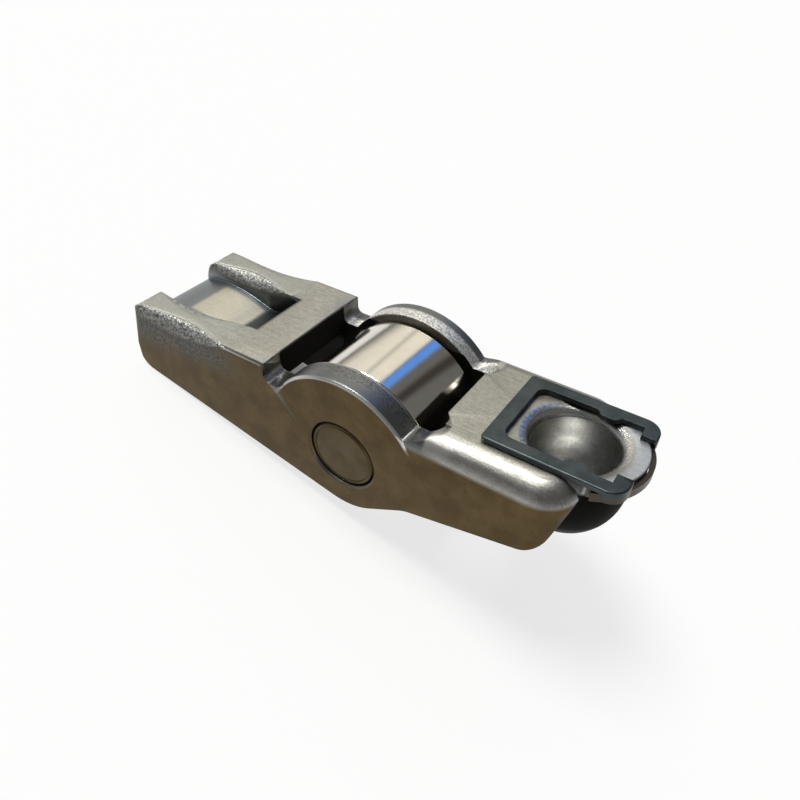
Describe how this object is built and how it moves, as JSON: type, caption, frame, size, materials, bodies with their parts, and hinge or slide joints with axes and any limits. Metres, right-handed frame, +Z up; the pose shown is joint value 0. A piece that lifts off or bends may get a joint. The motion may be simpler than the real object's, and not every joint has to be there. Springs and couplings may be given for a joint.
{
  "type": "roller finger follower rocker arm",
  "caption": "Stamped steel roller rocker arm with a needle-bearing cam roller, a ball socket with a spring clip, and a valve pad between its ears.",
  "frame": {"origin": "on the table, below the middle of the whole part's extent as it lies at rest", "axes": "+Z up from the table, +X along the part towards its ball socket end, +Y along the roller's axle"},
  "size_m": [0.0524, 0.0154, 0.0224],
  "materials": {
    "stamped_steel": "satin",
    "ground_steel": "satin",
    "spring_steel": "satin"
  },
  "bodies": {
    "arm": {"arm": "stamped_steel", "axle_pin": "ground_steel", "clip": "spring_steel"},
    "roller": {"roller": "ground_steel"},
    "needles": {"needle_01": "ground_steel", "needle_02": "ground_steel", "needle_03": "ground_steel", "needle_04": "ground_steel", "needle_05": "ground_steel", "needle_06": "ground_steel", "needle_07": "ground_steel", "needle_08": "ground_steel", "needle_09": "ground_steel", "needle_10": "ground_steel", "needle_11": "ground_steel", "needle_12": "ground_steel", "needle_13": "ground_steel", "needle_14": "ground_steel", "needle_15": "ground_steel", "needle_16": "ground_steel", "needle_17": "ground_steel", "needle_18": "ground_steel"}
  },
  "joints": [
    {"name": "roller_spin", "type": "hinge", "parent": "arm", "child": "roller", "pos_m": [0.00271, 0, 0.00827], "axis": [0, 1, 0], "continuous": true},
    {"name": "needle_orbit", "type": "hinge", "parent": "arm", "child": "needles", "pos_m": [0.00271, 0, 0.00827], "axis": [0, 1, 0], "continuous": true}
  ],
  "couplings": [
    {"joint": "needle_orbit", "follows": "roller_spin", "ratio": 0.5844}
  ]
}
